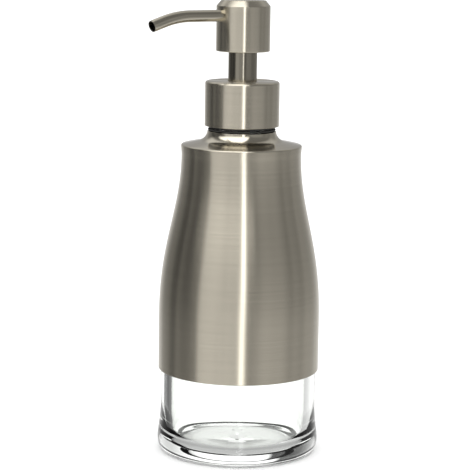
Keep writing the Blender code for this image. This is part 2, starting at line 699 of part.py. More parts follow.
def spout_route(start, steps):
    """Points and directions along the spout, in the head's frame, from x = -start."""
    route = [(Vector((-start, 0, SPOUT_HEIGHT)), 0.0)]
    for i in range(steps + 1):
        angle = SPOUT_BEND * i / steps
        x = -SPOUT_STRAIGHT - SPOUT_BEND_RADIUS * sin(angle)
        z = SPOUT_HEIGHT - SPOUT_BEND_RADIUS * (1 - cos(angle))
        route.append((Vector((x, 0, z)), angle))
    left = SPOUT_REACH + x
    tip = Vector((x - left, 0, z - left * tan(SPOUT_BEND)))
    route.append((tip, SPOUT_BEND))
    return route


def bar_along(route, radius, facets):
    """A round bar along the route, closed at both ends."""
    source = bmesh.new()
    rings = []
    for point, angle in route:
        made = bmesh.ops.create_circle(source, segments=facets, radius=radius)
        place = Matrix.Translation(point) @ Matrix.Rotation(-pi / 2 - angle, 4, "Y")
        bmesh.ops.transform(source, matrix=place, verts=made["verts"])
        rings.append(made["verts"])
    for first, second in zip(rings, rings[1:]):
        for i in range(facets):
            j = (i + 1) % facets
            source.faces.new((first[i], first[j], second[j], second[i]))
    source.faces.new(rings[0])
    source.faces.new(rings[-1])
    return source


def make_head(steel, white, black, ball_steel, head):
    rod_bottom = LAND + SHOULDER_BOTTOM - HEAD_BOTTOM
    spigot = ROD_RADIUS - SPIGOT_STEP - FIT
    outline = rounded(
        [
            (OUTLET_SEAT, LAND + SPIGOT_BOTTOM - HEAD_BOTTOM, 0),
            (spigot, LAND + SPIGOT_BOTTOM - HEAD_BOTTOM, 0),
            (spigot, rod_bottom, 0),
            (BARREL_BORE - SLIDE_ROOM, rod_bottom, 0),
            (BARREL_BORE - SLIDE_ROOM, LAND + CUP_FLOOR - HEAD_BOTTOM, EASED),
            (ROD_RADIUS, LAND + CUP_FLOOR - HEAD_BOTTOM, 0),
            (ROD_RADIUS, ROD_TOP, EASED),
            (OUTLET_SEAT, ROD_TOP, 0),
        ]
    )
    turned("piston_rod", outline, white, head, SMALL_FACETS)

    cover_bottom = LAND + COVER_BOTTOM - HEAD_BOTTOM
    outline = rounded(
        [
            (COVER_INNER, cover_bottom, 0),
            (STEM_RADIUS, cover_bottom, EASED),
            (STEM_RADIUS, COVER_TOP, 0),
            (COVER_INNER, COVER_TOP, 0),
        ]
    )
    turned("stem_cover", outline, steel, head)

    inside = HEAD_RADIUS - HEAD_WALL
    core = inside - FIT
    chamber = OUTLET_BALL_RADIUS + OUTLET_ROOM
    slope = HEAD_WALL * (sqrt(HEAD_CHAMFER_IN**2 + HEAD_CHAMFER_DOWN**2) - HEAD_CHAMFER_IN)
    chamfer_low = HEAD_HEIGHT - HEAD_CHAMFER_DOWN - slope / HEAD_CHAMFER_DOWN
    ceiling = HEAD_HEIGHT - HEAD_WALL
    ease = HEAD_CHAMFER_IN / HEAD_CHAMFER_DOWN
    flat = inside - (ceiling - chamfer_low) * ease
    outline = rounded(
        [
            (inside, 0, 0),
            (HEAD_RADIUS, 0, SOFT_EDGE),
            (HEAD_RADIUS, HEAD_HEIGHT - HEAD_CHAMFER_DOWN, 0),
            (HEAD_RADIUS - HEAD_CHAMFER_IN, HEAD_HEIGHT, 0),
            (0, HEAD_HEIGHT, 0),
            (0, ceiling, 0),
            (flat, ceiling, 0),
            (inside, chamfer_low, 0),
        ]
    )
    outline = outline[-3:] + outline[:-3]
    shell = turned("head_shell", outline, steel, head, LARGE_FACETS)

    core_top = ceiling - FIT
    outline = [
        (0, core_top),
        (0, SPOUT_HEIGHT + CHANNEL_RADIUS),
        (CHANNEL_RADIUS, SPOUT_HEIGHT + CHANNEL_RADIUS),
        (CHANNEL_RADIUS, CHAMBER_TOP),
        (chamber, CHAMBER_TOP),
        (chamber, ROD_TOP + FIT),
        (ROD_HOLE, ROD_TOP + FIT),
        (ROD_HOLE, -CORE_SKIRT),
        (COVER_INNER - FIT, -CORE_SKIRT),
        (COVER_INNER - FIT, COVER_TOP + FIT),
        (GUIDE_BORE, COVER_TOP + FIT),
        (GUIDE_BORE, CORE_INSET),
        (core, CORE_INSET),
        (core, chamfer_low),
        (core - (core_top - chamfer_low) * ease, core_top),
    ]
    outline = outline[1:] + outline[:1] + [(0, core_top)]
    head_core = turned("head_core", outline[:-1], white, head, LARGE_FACETS)

    spout_hole = SPOUT_RADIUS + FIT
    hole = rod_cutter(
        "spout_hole", spout_hole, (-SPOUT_SEAT + FIT, 0, SPOUT_HEIGHT),
        (-HEAD_RADIUS - OVERCUT, 0, SPOUT_HEIGHT), head,
    )
    channel = rod_cutter(
        "soap_channel", CHANNEL_RADIUS, (-SPOUT_SEAT - OVERCUT, 0, SPOUT_HEIGHT),
        (0, 0, SPOUT_HEIGHT), head, 16,
    )
    groove_outer = spout_hole + SEAL_GROOVE
    groove = rod_cutter(
        "seal_groove", groove_outer, (-core + SEAL_DEPTH + SEAL_WIDTH, 0, SPOUT_HEIGHT),
        (-core + SEAL_DEPTH, 0, SPOUT_HEIGHT), head,
    )
    combine(shell, hole, "DIFFERENCE")
    for cutter in (hole, channel, groove):
        combine(head_core, cutter, "DIFFERENCE")
    for bar in cross_cutters(
        "outlet_slot", OUTLET_SLOT, chamber - EASED / 2, CHAMBER_TOP - OVERCUT / 4,
        CHAMBER_TOP + OUTLET_SLOT_DEPTH, head,
    ):
        combine(head_core, bar, "DIFFERENCE")

    bar = bar_along(spout_route(SPOUT_SEAT, 6), SPOUT_RADIUS, SMALL_FACETS)
    spout = add_object("spout_tube", bar, steel, head)
    route = spout_route(SPOUT_SEAT - OVERCUT, 6)
    last, angle = route[-1]
    beyond = last + OVERCUT * Vector((-cos(angle), 0, -sin(angle)))
    bore = bar_along(route[:-1] + [(beyond, angle)], SPOUT_RADIUS - SPOUT_WALL, SMALL_FACETS)
    combine(spout, as_cutter(add_object("spout_bore", bore, None, head)), "DIFFERENCE")

    seal_wire = (groove_outer - FIT - SPOUT_RADIUS - FIT) / 2
    source = bmesh.new()
    made = bmesh.ops.create_circle(source, segments=8, radius=seal_wire)
    place = Matrix.Translation((SPOUT_RADIUS + FIT + seal_wire, 0, 0))
    turn = Matrix.Rotation(pi / 2, 4, "X")
    bmesh.ops.transform(source, matrix=place @ turn, verts=made["verts"])
    bmesh.ops.spin(
        source, geom=source.verts[:] + source.edges[:], cent=(0, 0, 0), axis=(0, 0, 1),
        dvec=(0, 0, 0), angle=2 * pi, steps=SMALL_FACETS, use_merge=True,
        use_duplicate=False,
    )
    bmesh.ops.remove_doubles(source, verts=source.verts, dist=1e-7)
    seal_x = -core + SEAL_DEPTH + SEAL_WIDTH / 2
    seal = add_object("spout_seal", source, black, head, (seal_x, 0, SPOUT_HEIGHT))
    seal.rotation_euler.y = pi / 2

    make_ball(
        "outlet_ball", OUTLET_BALL_RADIUS, ROD_TOP + OUTLET_BALL_REST, ball_steel, head
    )


def main():
    clear_scene()
    steel = finish_material("brushed_steel", (0.55, 0.53, 0.50), 0.35, 1.0)
    spring_steel = finish_material("spring_steel", (0.60, 0.60, 0.60), 0.25, 1.0)
    glass = finish_material("clear_glass", (0.90, 0.94, 0.92), 0.05, 0.0, 0.35)
    white = finish_material("white_plastic", (0.85, 0.85, 0.83), 0.45)
    clear = finish_material("clear_plastic", (0.90, 0.92, 0.93), 0.20, 0.0, 0.5)
    black = finish_material("black_rubber", (0.02, 0.02, 0.02), 0.60)

    bottle = joint_frame("bottle", 0)
    pump = joint_frame("pump", LAND, bottle)
    closure = joint_frame("closure", COLLAR_BOTTOM, bottle)
    plunger = joint_frame("plunger", LAND, bottle)
    head = joint_frame("head", HEAD_BOTTOM, bottle)

    make_bottle(steel, glass, black, bottle)
    make_closure(steel, black, closure)
    make_pump(white, black, clear, spring_steel, spring_steel, pump)
    make_plunger(white, black, plunger)
    make_head(steel, white, black, spring_steel, head)


main()
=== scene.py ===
from math import pi, radians

import bmesh
import bpy
import numpy as np
from mathutils import Matrix, Vector


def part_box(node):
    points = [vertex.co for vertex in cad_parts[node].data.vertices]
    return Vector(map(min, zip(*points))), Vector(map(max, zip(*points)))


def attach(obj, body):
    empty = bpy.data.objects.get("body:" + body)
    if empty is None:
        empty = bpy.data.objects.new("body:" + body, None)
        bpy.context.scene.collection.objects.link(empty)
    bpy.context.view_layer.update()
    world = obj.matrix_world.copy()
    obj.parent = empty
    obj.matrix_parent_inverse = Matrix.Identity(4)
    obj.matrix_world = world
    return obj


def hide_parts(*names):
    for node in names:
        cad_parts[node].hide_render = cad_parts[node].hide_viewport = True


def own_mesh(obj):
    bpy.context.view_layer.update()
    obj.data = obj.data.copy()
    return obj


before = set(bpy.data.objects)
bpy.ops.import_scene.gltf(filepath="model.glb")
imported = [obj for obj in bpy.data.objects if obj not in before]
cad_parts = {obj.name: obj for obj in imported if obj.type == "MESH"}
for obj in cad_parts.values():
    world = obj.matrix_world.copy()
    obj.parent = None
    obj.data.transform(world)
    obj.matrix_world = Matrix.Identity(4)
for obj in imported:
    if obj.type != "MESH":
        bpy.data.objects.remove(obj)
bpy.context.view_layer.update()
print("frame loaded")


def boxOf(node):
    low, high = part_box(node)
    return np.array(low), np.array(high)


def arcPoints(centre, radius, start, end, steps):
    # centre + radius * (cos a, sin a), with a running evenly from start to end, in degrees
    a = np.radians(np.linspace(start, end, steps + 1))
    return np.stack([centre[0] + radius * np.cos(a), centre[1] + radius * np.sin(a)], 1)


def roundedProfile(corners, degreesPerStep=7):
    # each corner (radius, height, fillet) becomes the arc that touches both of its sides
    parts = []
    for i, (r, z, fillet) in enumerate(corners):
        here = np.array([r, z])
        if fillet <= 0:
            parts.append(here[None])
            continue
        before = np.array(corners[i - 1][:2]) - here
        after = np.array(corners[(i + 1) % len(corners)][:2]) - here
        before /= np.linalg.norm(before)
        after /= np.linalg.norm(after)
        half = np.arccos(np.clip(before @ after, -1, 1)) / 2
        middle = (before + after) / np.linalg.norm(before + after)
        centre = here + middle * fillet / np.sin(half)
        start = here + before * fillet / np.tan(half) - centre
        end = here + after * fillet / np.tan(half) - centre
        a0, a1 = (np.degrees(np.arctan2(p[1], p[0])) for p in (start, end))
        turn = (a1 - a0 + 180) % 360 - 180
        steps = max(3, int(abs(turn) / degreesPerStep))
        parts.append(arcPoints(centre, fillet, a0, a0 + turn, steps))
    return np.concatenate(parts)


def bezierPoints(controls, steps):
    # cubic Bezier: the four control points, weighted by the Bernstein shares of t
    t = np.linspace(0, 1, steps + 1)[:, None]
    p = np.array(controls, float)
    return (1 - t)**3 * p[0] + 3 * (1 - t)**2 * t * p[1] + 3 * (1 - t) * t**2 * p[2] + t**3 * p[3]


def finelySpaced(points, longest):
    # each stretch is split evenly, so that none is longer than the given length
    lengths = np.linalg.norm(np.diff(points, axis=0), axis=1)
    travelled = np.concatenate([[0], np.cumsum(lengths)])
    counts = np.maximum(1, np.ceil(lengths / longest).astype(int))
    stops = np.concatenate([[0], np.cumsum(1 / np.repeat(counts, counts))])
    at = np.interp(stops, np.arange(len(points)), travelled)
    return np.stack([np.interp(at, travelled, points[:, k]) for k in range(points.shape[1])], 1)


def surfaceMesh(name, grid, closedAlong, along, startPole=None, endPole=None):
    # grid[i, j] is a point: i runs along the profile, j round it, always closed round.
    # A pole is the single point that the first or last row closes to.
    # U runs 0 to 1 round the piece, and V is the length along the profile.
    rows, columns = grid.shape[:2]
    index = np.arange(rows * columns).reshape(rows, columns)
    low = index if closedAlong else index[:-1]
    high = np.roll(index, -1, 0) if closedAlong else index[1:]
    quads = np.stack([low, np.roll(low, -1, 1), np.roll(high, -1, 1), high], -1).reshape(-1, 4)
    u0 = np.broadcast_to(np.arange(columns) / columns, low.shape)
    u1 = u0 + 1 / columns
    v0 = np.broadcast_to(along[:len(low), None], low.shape)
    nextAlong = np.append(along, along[-1])[1:] if closedAlong else along[1:]
    v1 = np.broadcast_to(nextAlong[:, None], low.shape)
    quadUv = np.stack([u0, v0, u1, v0, u1, v1, u0, v1], -1).reshape(-1, 2)
    points = [grid.reshape(-1, 3)]
    loops, uvs, sizes = [quads.ravel()], [quadUv], [np.full(len(quads), 4)]
    for pole, row, v in ((startPole, 0, along[0]), (endPole, rows - 1, along[-1])):
        if pole is None:
            continue
        rim, nextRim = index[row], np.roll(index[row], -1)
        tip = np.full(columns, sum(map(len, points)))
        points.append(np.array(pole, float)[None])
        fan = (tip, nextRim, rim) if row == 0 else (tip, rim, nextRim)
        first, second = (u1[0], u0[0]) if row == 0 else (u0[0], u1[0])
        loops.append(np.stack(fan, -1).ravel())
        flat = np.full(columns, v)
        middle = (u0[0] + u1[0]) / 2
        fanUv = np.stack([middle, flat, first, flat, second, flat], -1)
        uvs.append(fanUv.reshape(-1, 2))
        sizes.append(np.full(columns, 3))
    points, loops, uvs, sizes = (np.concatenate(part) for part in (points, loops, uvs, sizes))
    mesh = bpy.data.meshes.new(name)
    mesh.vertices.add(len(points))
    mesh.vertices.foreach_set("co", points.astype(np.float32).ravel())
    mesh.loops.add(len(loops))
    mesh.loops.foreach_set("vertex_index", loops.astype(np.int32))
    mesh.polygons.add(len(sizes))
    starts = np.concatenate([[0], np.cumsum(sizes)[:-1]])
    mesh.polygons.foreach_set("loop_start", starts.astype(np.int32))
    mesh.update(calc_edges=True)
    layer = mesh.uv_layers.new(name="surface")
    layer.data.foreach_set("uv", uvs.astype(np.float32).ravel())
    mesh.validate()
    turnOutwards(mesh)
    return mesh


def turnOutwards(mesh):
    work = bmesh.new()
    work.from_mesh(mesh)
    bmesh.ops.recalc_face_normals(work, faces=work.faces)
    work.to_mesh(mesh)
    work.free()


def addPiece(name, mesh, material, body, nodes=(), sharp=30):
    mesh.shade_smooth()
    mesh.set_sharp_from_angle(angle=radians(sharp))
    mesh.materials.append(material)
    piece = bpy.data.objects.new(name, mesh)
    bpy.context.scene.collection.objects.link(piece)
    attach(piece, body)
    if nodes:
        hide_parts(*nodes)
    return piece


def turnedMesh(name, profile, segments=192, longest=0.004):
    # a point (r, z) of the profile, at angle a, lies at (r cos a, r sin a, z)
    profile = np.asarray(profile, float)
    meetsAxis = profile[0, 0] < 1e-7 and profile[-1, 0] < 1e-7
    line = finelySpaced(profile if meetsAxis else np.vstack([profile, profile[:1]]), longest)
    along = np.concatenate([[0], np.cumsum(np.linalg.norm(np.diff(line, axis=0), axis=1))])
    ends = (line[0], line[-1])
    line, along = (line[1:-1], along[1:-1]) if meetsAxis else (line[:-1], along[:-1])
    a = np.arange(segments) / segments * 2 * pi
    r, z = line[:, :1], line[:, 1:]
    grid = np.stack([r * np.cos(a), r * np.sin(a), z + 0 * a], -1)
    poles = [(0, 0, end[1]) for end in ends] if meetsAxis else (None, None)
    return surfaceMesh(name, grid, not meetsAxis, along, *poles)


def newMaterial(name):
    material = bpy.data.materials.new(name)
    material.use_nodes = True
    tree = material.node_tree
    return material, tree, tree.nodes["Principled BSDF"]


def setSockets(node, **values):
    for label, value in values.items():
        node.inputs[label.replace("_", " ")].default_value = value


def newGroup(name, inputs, outputs):
    group = bpy.data.node_groups.new(name, "ShaderNodeTree")
    for label, kind, value in inputs:
        socket = group.interface.new_socket(name=label, in_out="INPUT", socket_type=kind)
        if value is not None:
            socket.default_value = value
    for label, kind in outputs:
        group.interface.new_socket(name=label, in_out="OUTPUT", socket_type=kind)
    return group, group.nodes.new("NodeGroupInput"), group.nodes.new("NodeGroupOutput")


def mathNode(tree, operation, first, second=None, third=None):
    node = tree.nodes.new("ShaderNodeMath")
    node.operation = operation
    for socket, value in zip(node.inputs, (first, second, third)):
        if value is None:
            continue
        if isinstance(value, (int, float)):
            socket.default_value = value
        else:
            tree.links.new(value, socket)
    return node.outputs[0]


def noiseNode(tree, vector, scale, detail=3.0, roughness=0.55):
    node = tree.nodes.new("ShaderNodeTexNoise")
    setSockets(node, Scale=scale, Detail=detail, Roughness=roughness)
    tree.links.new(vector, node.inputs["Vector"])
    return node.outputs["Fac"]


def stretched(tree, vector, scale):
    node = tree.nodes.new("ShaderNodeMapping")
    node.inputs["Scale"].default_value = scale
    tree.links.new(vector, node.inputs["Vector"])
    return node.outputs["Vector"]


def mapRange(tree, value, fromMin, fromMax, toMin, toMax):
    node = tree.nodes.new("ShaderNodeMapRange")
    setSockets(node, From_Min=fromMin, From_Max=fromMax)
    for label, limit in (("To Min", toMin), ("To Max", toMax)):
        if isinstance(limit, (int, float)):
            node.inputs[label].default_value = limit
        else:
            tree.links.new(limit, node.inputs[label])
    tree.links.new(value, node.inputs["Value"])
    return node.outputs["Result"]


# brushing round an axis: noise that changes quickly along the axis and slowly round it
brushingLook = {
    "fine": (14, 14, 5200),  # cells per metre along X, Y and Z
    "broad": (5, 5, 1900),
    "cloud": (26, 26, 26),
    "fineShare": 0.75,
    "lineShare": 0.5,
}


def blended(tree, first, second, share):
    # this share of the first value, and the rest of the second
    return mathNode(tree, "ADD", mathNode(tree, "MULTIPLY", first, share),
                    mathNode(tree, "MULTIPLY", second, 1 - share))


def makeBrushing():
    inputs = [("Vector", "NodeSocketVector", None), ("Roughness", "NodeSocketFloat", 0.25),
              ("Spread", "NodeSocketFloat", 0.05), ("Dark", "NodeSocketColor", (0.4, 0.4, 0.4, 1)),
              ("Light", "NodeSocketColor", (0.6, 0.6, 0.6, 1))]
    outputs = [("Color", "NodeSocketColor"), ("Roughness", "NodeSocketFloat"),
               ("Height", "NodeSocketFloat")]
    group, given, result = newGroup("brushing", inputs, outputs)
    vector = given.outputs["Vector"]
    fine = noiseNode(group, stretched(group, vector, brushingLook["fine"]), 1.0, 4.0, 0.7)
    broad = noiseNode(group, stretched(group, vector, brushingLook["broad"]), 1.0, 3.0, 0.6)
    cloud = noiseNode(group, stretched(group, vector, brushingLook["cloud"]), 1.0, 2.0, 0.5)
    lines = blended(group, fine, broad, brushingLook["fineShare"])
    mix = group.nodes.new("ShaderNodeMix")
    mix.data_type = "RGBA"
    group.links.new(mapRange(group, lines, 0.38, 0.62, 0.0, 1.0), mix.inputs["Factor"])
    group.links.new(given.outputs["Dark"], mix.inputs["A"])
    group.links.new(given.outputs["Light"], mix.inputs["B"])
    uneven = blended(group, lines, cloud, brushingLook["lineShare"])
    swing = mathNode(group, "MULTIPLY", mapRange(group, uneven, 0.35, 0.65, -1.0, 1.0),
                     given.outputs["Spread"])
    group.links.new(mix.outputs["Result"], result.inputs["Color"])
    roughness = mathNode(group, "ADD", given.outputs["Roughness"], swing)
    group.links.new(roughness, result.inputs["Roughness"])
    group.links.new(lines, result.inputs["Height"])
    return group


brushing = makeBrushing()


def groupNode(tree, group, vector, **values):
    node = tree.nodes.new("ShaderNodeGroup")
    node.node_tree = group
    setSockets(node, **values)
    tree.links.new(vector, node.inputs["Vector"])
    return node


def bumpNode(tree, height, strength, distance):
    node = tree.nodes.new("ShaderNodeBump")
    setSockets(node, Strength=strength, Distance=distance)
    tree.links.new(height, node.inputs["Height"])
    return node.outputs["Normal"]


def objectCoordinates(tree):
    return tree.nodes.new("ShaderNodeTexCoord").outputs["Object"]


steelLook = {
    "dark": (0.552, 0.510, 0.421, 1),
    "light": (0.612, 0.567, 0.470, 1),
    "roughness": 0.24,
    "polished": 0.13,        # roughness of the spun shoulder and neck
    "polishedAbove": 0.1428,
    "spread": 0.02,
    "anisotropy": 1.0,
    "lineDepth": 0.000004,
    "lineStrength": 0.08,
    "tone": 1.0,
}
stemLook = {"roughness": 0.16, "anisotropy": 0.6, "lineStrength": 0.05, "tone": 0.62}
spoutLook = {"roughness": 0.14, "anisotropy": 0.5, "lineStrength": 0.05, "tone": 0.9}


def brushedSteel(name, look, polishedAbove=None):
    material, tree, shader = newMaterial(name)
    coordinates = objectCoordinates(tree)
    dark, light = (tuple(c * look["tone"] for c in steelLook[end][:3]) + (1,)
                   for end in ("dark", "light"))
    finish = groupNode(tree, brushing, coordinates, Roughness=look["roughness"],
                       Spread=steelLook["spread"], Dark=dark, Light=light)
    if polishedAbove:
        split = tree.nodes.new("ShaderNodeSeparateXYZ")
        tree.links.new(coordinates, split.inputs[0])
        level = mapRange(tree, split.outputs["Z"], polishedAbove, polishedAbove + 0.001,
                         look["roughness"], steelLook["polished"])
        tree.links.new(level, finish.inputs["Roughness"])
    setSockets(shader, Metallic=1.0, Anisotropic=look["anisotropy"], Anisotropic_Rotation=0.25)
    tree.links.new(finish.outputs["Color"], shader.inputs["Base Color"])
    tree.links.new(finish.outputs["Roughness"], shader.inputs["Roughness"])
    normal = bumpNode(tree, finish.outputs["Height"], look["lineStrength"], steelLook["lineDepth"])
    tree.links.new(normal, shader.inputs["Normal"])
    tangent = tree.nodes.new("ShaderNodeTangent")
    tangent.direction_type = "UV_MAP"
    tangent.uv_map = "surface"
    tree.links.new(tangent.outputs["Tangent"], shader.inputs["Tangent"])
    return material


steel = brushedSteel("brushed steel", steelLook)
sleeveSteel = brushedSteel("sleeve steel", steelLook, steelLook["polishedAbove"])
stemSteel = brushedSteel("stem steel", stemLook)
spoutSteel = brushedSteel("spout steel", spoutLook)


plasticLook = {
    "black plastic": {"colour": (0.020, 0.020, 0.019), "roughness": 0.42, "grain": 900},
    "black rubber": {"colour": (0.026, 0.025, 0.023), "roughness": 0.55, "grain": 1400},
    "natural plastic": {"colour": (0.82, 0.82, 0.79), "roughness": 0.40, "grain": 700},
}


def makePlastic(name, colour, roughness, grain):
    material, tree, shader = newMaterial(name)
    coordinates = objectCoordinates(tree)
    texture = noiseNode(tree, coordinates, grain, 4.0)
    uneven = mapRange(tree, texture, 0.3, 0.7, roughness - 0.06, roughness + 0.06)
    tree.links.new(uneven, shader.inputs["Roughness"])
    tree.links.new(bumpNode(tree, texture, 0.12, 0.00002), shader.inputs["Normal"])
    setSockets(shader, Base_Color=(*colour, 1), IOR=1.46)
    return material


blackPlastic, blackRubber, whitePlastic = (
    makePlastic(name, **look) for name, look in plasticLook.items())


glassLook = {
    "colour": (0.965, 0.98, 0.96, 1),
    "ior": 1.50,
    "waves": (34, 34, 16),   # unevenness, cells per metre
    "waveStrength": 0.2,
    "waveDepth": 0.0006,
}


def makeGlass():
    material, tree, shader = newMaterial("clear glass")
    coordinates = objectCoordinates(tree)
    waves = noiseNode(tree, stretched(tree, coordinates, glassLook["waves"]), 1.0, 1.5)
    setSockets(shader, Base_Color=glassLook["colour"], Roughness=0.0, IOR=glassLook["ior"],
               Transmission_Weight=1.0)
    normal = bumpNode(tree, waves, glassLook["waveStrength"], glassLook["waveDepth"])
    tree.links.new(normal, shader.inputs["Normal"])
    return material


glass = makeGlass()


# an index this low keeps the tube from showing through the glass
tubeLook = {"colour": (0.99, 0.995, 0.99, 1), "ior": 1.02}


def makeClearPlastic():
    material, tree, shader = newMaterial("clear tube plastic")
    setSockets(shader, Base_Color=tubeLook["colour"], IOR=tubeLook["ior"],
               Transmission_Weight=1.0, Roughness=0.0)
    waves = noiseNode(tree, objectCoordinates(tree), 300, 2.0)
    tree.links.new(bumpNode(tree, waves, 0.1, 0.0001), shader.inputs["Normal"])
    return material


clearPlastic = makeClearPlastic()


def makeDrawnSteel():
    material, tree, shader = newMaterial("drawn steel")
    marks = noiseNode(tree, objectCoordinates(tree), 1500, 3.0)
    setSockets(shader, Metallic=1.0, Base_Color=(0.62, 0.62, 0.61, 1))
    tree.links.new(mapRange(tree, marks, 0.3, 0.7, 0.16, 0.28), shader.inputs["Roughness"])
    return material


drawnSteel = makeDrawnSteel()
print("materials made")

sleeve = {
    "wall": 0.0006,
    "belly": 0.063,          # height where the side starts to draw in
    "waistRadius": 0.0275,
    "shoulderRadius": 0.0278,
    "shoulderHeight": 0.1425,
    "waistDrop": 0.0035,     # waist below the shoulder
    "bellyEase": 0.47,       # handles of the side's curve, as shares of its height
    "waistEase": 0.35,
    "slope": 12.2,           # of the shoulder, in degrees
    "edge": 0.0007,
    "flare": 0.0052,
    "lowerEdge": 0.00018,
    "leastEdge": 0.0002,     # of the lines inside the outer one
    "neckStep": 0.0003,      # neck's radius over the gasket's
}
sleeveLow, sleeveHigh = boxOf("steel_sleeve")
bodyRadius = sleeveHigh[0]
lipHeight = sleeveHigh[2]
gasketHigh = boxOf("neck_gasket")[1]
neckRadius = gasketHigh[0] + sleeve["neckStep"]


def bodySide(bottom, inset, steps=64):
    # straight up to the belly, then one Bezier curve in to the waist
    waist = sleeve["shoulderHeight"] - sleeve["waistDrop"]
    rise = waist - sleeve["belly"]
    curve = bezierPoints([
        (bodyRadius, sleeve["belly"]),
        (bodyRadius, sleeve["belly"] + sleeve["bellyEase"] * rise),
        (sleeve["waistRadius"], waist - sleeve["waistEase"] * rise),
        (sleeve["waistRadius"], waist)], steps)
    line = np.vstack([[bodyRadius, bottom], curve])
    return line - (inset, 0)


def shoulderLine(inset, neck, flare, top):
    # rounded edge, straight slope, then the concave flare that stands the neck up
    slope = radians(sleeve["slope"])
    edge = max(sleeve["edge"] - inset, sleeve["leastEdge"])
    outer = arcPoints((sleeve["shoulderRadius"] - inset - edge, sleeve["shoulderHeight"]), edge,
                      0, 90 - sleeve["slope"], 10)
    edgeRadius = sleeve["shoulderRadius"] - sleeve["edge"] * (1 - np.sin(slope))
    edgeTop = sleeve["shoulderHeight"] + sleeve["edge"] * np.cos(slope) - inset / np.cos(slope)
    centre = neck + flare
    height = edgeTop + (edgeRadius - centre) * np.tan(slope) + flare / np.cos(slope)
    stop = np.degrees(min((top - height) / flare, 0))
    inner = arcPoints((centre, height), flare, 270 - sleeve["slope"], 180 - stop, 22)
    return np.vstack([outer, inner])


def sleeveProfile():
    wall, edge = sleeve["wall"], sleeve["lowerEdge"]
    bottom = sleeveLow[2]
    outside = np.vstack([bodySide(bottom + edge, 0),
                         shoulderLine(0, neckRadius, sleeve["flare"], lipHeight - edge)])
    inside = np.vstack([bodySide(bottom + edge, wall),
                        shoulderLine(wall, neckRadius - wall, sleeve["flare"] + wall,
                                     lipHeight - edge)])
    lip = arcPoints((outside[-1][0] - wall / 2, lipHeight - wall / 2), wall / 2, 20, 160, 8)
    hem = arcPoints((bodyRadius - wall / 2, bottom + wall / 2), wall / 2, 180, 360, 8)
    return np.vstack([hem, outside, lip, inside[::-1]])


addPiece("steelSleeve", turnedMesh("steelSleeve", sleeveProfile(), 256), sleeveSteel, "bottle",
         ["steel_sleeve"])
print("sleeve made")

bottle = {
    "wall": 0.0050,
    "sleeveGap": 0.0012,     # sleeve's outside to the glass
    "bulge": 0.0013,         # foot outside the wall
    "bulgeHeight": 0.0050,
    "bulgeTop": 0.0220,
    "footRound": 0.0030,
    "footIn": 0.0004,        # foot's round, in from its widest
    "footSwell": (0.0011, 0.0010),   # handle of the foot's curve: out, and up
    "footEase": 0.55,
    "flare": 0.0030,
    "lipRound": 0.0006,
    "floor": 0.0032,
    "crown": 0.0015,         # floor's middle above its edge
    "floorCorner": 0.0090,
    "floorRise": 0.0090,
    "finishWall": 0.0030,
    "threadDepth": 0.0010,
    "threadPitch": 0.004233,
    "threadTurns": 1.25,
    "threadStart": 0.0025,   # thread's end below the land
    "threadWidth": 0.0022,
    "threadHalf": 0.62,      # turns from its middle to its ends
    "threadFade": 0.12,
    "threadSpacing": 0.00035,
}
land = boxOf("glass_bottle")[1][2]
finishRadius = boxOf("pump_housing")[1][0] + 0.0003
neckBore = finishRadius - bottle["finishWall"]


def glassOuter():
    wall = bodyRadius - bottle["sleeveGap"]
    foot = wall + bottle["bulge"]
    # foot: a round under edge, then one smooth curve up into the straight wall
    footRound, (out, up) = bottle["footRound"], bottle["footSwell"]
    under = arcPoints((foot - footRound - bottle["footIn"], footRound), footRound, 270, 340, 12)
    rise = bezierPoints([under[-1], (foot + out, bottle["bulgeHeight"] + up),
                         (wall, bottle["bulgeTop"] * bottle["footEase"]),
                         (wall, bottle["bulgeTop"])], 24)
    side = bodySide(bottle["bulgeTop"] + 0.002, bottle["sleeveGap"])
    shoulder = shoulderLine(bottle["sleeveGap"], finishRadius, bottle["flare"], lipHeight)
    lip = bottle["lipRound"]
    top = arcPoints((finishRadius - lip, land - lip), lip, 0, 90, 8)
    return np.vstack([under, rise[1:], side, shoulder, [(finishRadius, lipHeight + 0.001)], top])


def glassInner():
    wall = bodyRadius - bottle["sleeveGap"] - bottle["wall"]
    floor, corner = bottle["floor"], bottle["floorCorner"]
    # the crown falls away as (1 - (r / R)^2)^2, and a quarter ellipse turns it up into the wall
    edge = wall - corner
    r = np.linspace(0, edge, 28)
    crown = np.stack([r, floor + bottle["crown"] * (1 - (r / edge)**2)**2], 1)
    a = np.radians(np.linspace(270, 360, 25))
    rise = bottle["floorRise"]
    turn = np.stack([edge + corner * np.cos(a), floor + rise + rise * np.sin(a)], 1)
    side = bodySide(turn[-1][1] + 0.004, bottle["sleeveGap"] + bottle["wall"])
    side = side[side[:, 1] < sleeve["shoulderHeight"] - 0.009]
    throat = roundedProfile([
        (side[-1][0], side[-1][1], 0),
        (side[-1][0] - 0.0012, sleeve["shoulderHeight"] - 0.0042, 0.0030),
        (neckBore, sleeve["shoulderHeight"] - 0.0008, 0.0018),
        (neckBore, land - bottle["lipRound"], 0)])
    return np.vstack([crown, turn[1:], side, throat[1:]])


